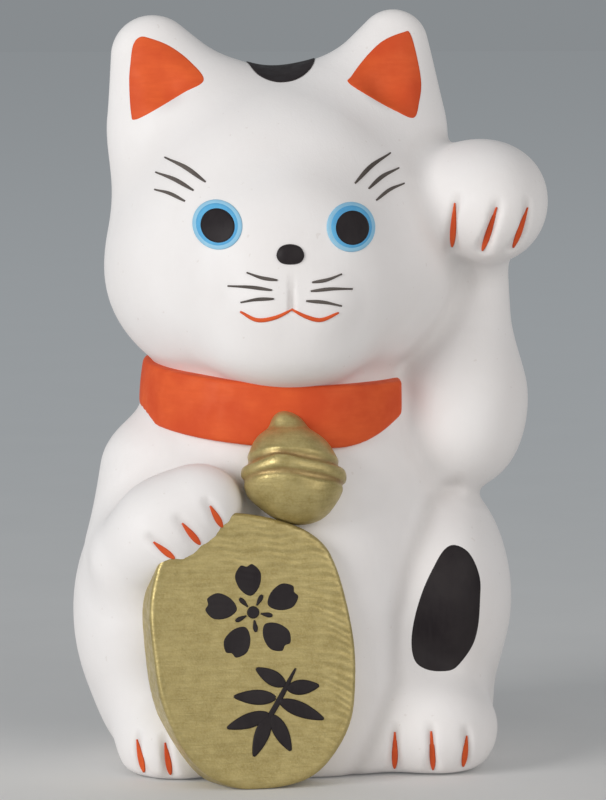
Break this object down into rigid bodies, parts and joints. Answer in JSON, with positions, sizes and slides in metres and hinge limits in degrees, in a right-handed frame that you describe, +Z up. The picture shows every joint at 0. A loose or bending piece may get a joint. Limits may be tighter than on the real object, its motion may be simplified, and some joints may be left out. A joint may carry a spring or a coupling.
{
  "type": "beckoning cat figurine",
  "caption": "Hollow painted clay cat with one paw raised, a collar with a bell and an oval coin, on a base plate with a rubber stopper.",
  "frame": {"origin": "middle of the bounding box's bottom face, on the table", "axes": "+Z up, -Y the way the cat faces, +X to the right of someone facing the cat"},
  "size_m": [0.1298, 0.1209, 0.206],
  "materials": {
    "white_clay": "matt white paint on fired clay",
    "red_paint": "matt orange-red paint on fired clay",
    "gold_paint": "metallic gold paint on fired clay",
    "black_paint": "satin black paint on fired clay",
    "bare_clay": "unpainted fired clay",
    "stopper_rubber": "matt moulded rubber"
  },
  "bodies": {
    "figure": {"front_shell": "white_clay", "back_shell": "white_clay", "raised_arm": "white_clay", "collar": "red_paint", "bell": "gold_paint", "koban": "gold_paint", "tail": "black_paint", "base_plate": "bare_clay"},
    "stopper": {"base_stopper": "stopper_rubber"}
  },
  "joints": [
    {"name": "stopper_pull", "type": "slide", "parent": "figure", "child": "stopper", "axis": [0, 0, -1], "range_m": [0, 0.012]}
  ]
}
